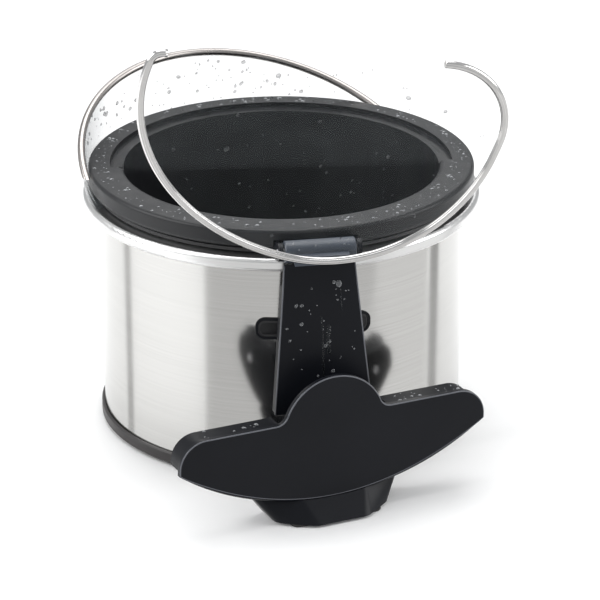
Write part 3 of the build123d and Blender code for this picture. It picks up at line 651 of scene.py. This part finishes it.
# on both faces of the guard's clear wall, below its sloping top
GUARD_TURN = math.radians(115.5)
GUARD_SLOPE = math.tan(math.radians(26.2))
GUARD_RING_Z, GUARD_SHIFT = 0.1805, 0.0239  # the sloping ring's middle: height, way off the axis
GUARD_R, GUARD_T = 0.151, 0.0018
GUARD_FOOT_R, GUARD_FOOT_Z = 0.1466, 0.187
GUARD_FLARE, GUARD_FLARE_HEIGHT = 0.0047, 0.037
guard_places = []
while len(guard_places) < 80:
    angle = GUARD_TURN + math.radians(random.uniform(-80, 80))
    uphill = GUARD_R * math.cos(angle - GUARD_TURN) - GUARD_SHIFT
    top = GUARD_RING_Z + uphill * GUARD_SLOPE - GUARD_GAP
    height = random.uniform(0.2, 0.25)
    if height > top:
        continue
    side = random.choice((0.0, GUARD_T))
    rise = min(1.0, (height - GUARD_FOOT_Z) / GUARD_FLARE_HEIGHT)
    radius = GUARD_FOOT_R + GUARD_FLARE * math.sin(rise * math.pi / 2) + side
    out = around_z(1.0, angle) * (1 if side else -1)
    guard_places.append(drop(around_z(radius, angle, height), out, 1.0, 0.8, 1.4))
drops("water_on_guard", "guard", guard_places, water_painted_shade)

# ---- rear: pips round the knob, its pointer, and the wall's welded seam ----
KNOB = Vector((0.0, 0.156, 0.028))
PIP_CIRCLE, PIP_R, PIP_RISE = 0.0178, 0.0011, 0.0006
FASCIA_R = 0.1382
pip_bm = bmesh.new()
for angle in (-35, 0, 35, 145, 180, 215):
    x = PIP_CIRCLE * math.cos(math.radians(angle))
    z = PIP_CIRCLE * math.sin(math.radians(angle))
    out = Vector((x, math.sqrt(FASCIA_R ** 2 - x * x), 0)).normalized()
    add_drop(pip_bm, out * FASCIA_R + Vector((0, 0, KNOB.z + z)), out, PIP_R, PIP_RISE)
piece("dial_pips", mesh_of("dial_pips", pip_bm), screw_steel, "housing")

POINTER_IN = 0.0009  # how far the pointer's line lies behind the knob's front plane
pointer_line = [KNOB - Vector((0, POINTER_IN, -z)) for z in (0.0038, 0.007, 0.0102)]
pointer = swept("knob_pointer", pointer_line, oval(0.0006, 0.0004, 12), Vector((0, 1, 0)))
piece("knob_pointer", pointer, screw_steel, "knob")

SEAM_ANGLE = math.radians(62)
WALL_LOW, WALL_HEIGHT, WALL_LOW_R, WALL_SPREAD = 0.009, 0.163, 0.1360, 0.0015
seam_way = around_z(1.0, SEAM_ANGLE)
seam_line = []
for z in (0.013, 0.06, 0.11, 0.17):
    radius = WALL_LOW_R + WALL_SPREAD * (z - WALL_LOW) / WALL_HEIGHT
    seam_line.append(seam_way * radius + Vector((0, 0, z)))
seam = swept("wall_seam", seam_line, oval(0.0011, 0.00022, 12), seam_way)
piece("wall_seam", seam, wall_steel, "housing")


# ---- floor, backdrop light and studio ----
def emitter(name, color, strength):
    """A plain glowing material for the studio's cards."""
    mat = bpy.data.materials.new(name)
    mat.use_nodes = True
    tree = mat.node_tree
    tree.nodes.clear()
    out = tree.nodes.new("ShaderNodeOutputMaterial")
    glow = tree.nodes.new("ShaderNodeEmission")
    glow.inputs["Color"].default_value = (*color, 1.0)
    glow.inputs["Strength"].default_value = strength
    tree.links.new(glow.outputs["Emission"], out.inputs["Surface"])
    return mat


def flat_mesh(name, corners, mat):
    """One flat face through the given corners, not part of the object."""
    mesh = bpy.data.meshes.new(name)
    mesh.from_pydata(corners, [], [tuple(range(len(corners)))])
    mesh.materials.append(mat)
    made = bpy.data.objects.new(name, mesh)
    scene.collection.objects.link(made)
    return made


FLOOR = 12.0
floor_look = Look("floor", (0.93, 0.93, 0.93), 0.55)
floor_look.vary_color(floor_look.noise(3.0), (0.95, 0.95, 0.95))
floor_corners = [(-FLOOR, -FLOOR, 0), (FLOOR, -FLOOR, 0), (FLOOR, FLOOR, 0), (-FLOOR, FLOOR, 0)]
flat_mesh("floor", floor_corners, floor_look.mat)

# Cards lying on the floor that only reflections see: the wall's bands of grey come from them.
WALL_R = 0.1368
CARD_Z = 0.0006


def reflected_edge(angle, reach):
    """Two floor points whose mirror image in the wall is an upright line at that angle."""
    around = CAMERA_AZIMUTH + math.radians(angle)
    out = CAMERA_AZIMUTH + math.radians(2 * angle)
    near = Vector((WALL_R * math.sin(around), -WALL_R * math.cos(around), CARD_Z))
    far = near + reach * Vector((math.sin(out), -math.cos(out), 0))
    return near, far


def floor_card(name, start, end, brightness, reach=2.5, steps=12):
    """A glowing card; start and end are the angles on the wall between which it is mirrored."""
    near, far = [], []
    for i in range(steps + 1):
        a, b = reflected_edge(start + (end - start) * i / steps, reach)
        near.append(a)
        far.append(b)
    corners = [tuple(p) for p in near + far[::-1]]
    card = flat_mesh(name, corners, emitter(name, (1, 1, 1), brightness))
    for kind in ("camera", "diffuse", "shadow", "transmission"):
        setattr(card, "visible_" + kind, False)


floor_card("card_front", -24.4, 31.0, 0.76)
floor_card("card_right", 31.0, 53.0, 0.98)
floor_card("card_left_line", -59.0, -55.5, 0.65)
floor_card("card_right_line", 54.5, 59.5, 0.5)

# The camera sees a white backdrop; everything else gets a dimmer, slightly cool fill.
world = bpy.data.worlds.new("studio")
scene.world = world
world.use_nodes = True
world_nodes = world.node_tree.nodes
world_nodes.clear()
world_out = world_nodes.new("ShaderNodeOutputWorld")
behind = world_nodes.new("ShaderNodeBackground")
behind.inputs["Color"].default_value = (1, 1, 1, 1)
behind.inputs["Strength"].default_value = 1.05
fill = world_nodes.new("ShaderNodeBackground")
fill.inputs["Color"].default_value = (0.97, 0.985, 1.0, 1)
fill.inputs["Strength"].default_value = 0.5
rays = world_nodes.new("ShaderNodeLightPath")
choose = world_nodes.new("ShaderNodeMixShader")
for source, target in (
    (rays.outputs["Is Camera Ray"], choose.inputs["Fac"]),
    (fill.outputs["Background"], choose.inputs[1]),
    (behind.outputs["Background"], choose.inputs[2]),
    (choose.outputs["Shader"], world_out.inputs["Surface"]),
):
    world.node_tree.links.new(source, target)

LIGHTS_AIM = Vector((0, 0, 0.1))


def softbox(name, azimuth, elevation, distance, width, height, power):
    """A soft light placed by its direction from the object; azimuth is from the camera's side."""
    a = CAMERA_AZIMUTH + math.radians(azimuth)
    e = math.radians(elevation)
    back = Vector((math.sin(a) * math.cos(e), -math.cos(a) * math.cos(e), math.sin(e)))
    data = bpy.data.lights.new(name, "AREA")
    data.shape = "RECTANGLE"
    data.size = width
    data.size_y = height
    data.energy = power
    light = bpy.data.objects.new(name, data)
    light.location = LIGHTS_AIM + distance * back
    light.rotation_mode = "QUATERNION"
    light.rotation_quaternion = (-back).to_track_quat("-Z", "Y")
    scene.collection.objects.link(light)


softbox("light_left", -78, 32, 1.8, 1.6, 1.3, 22)
softbox("light_right", 85, 28, 1.9, 1.1, 1.2, 14)
softbox("light_top", 180, 78, 1.7, 1.5, 1.5, 23)
softbox("light_back", 180, 35, 2.0, 1.8, 1.0, 4)
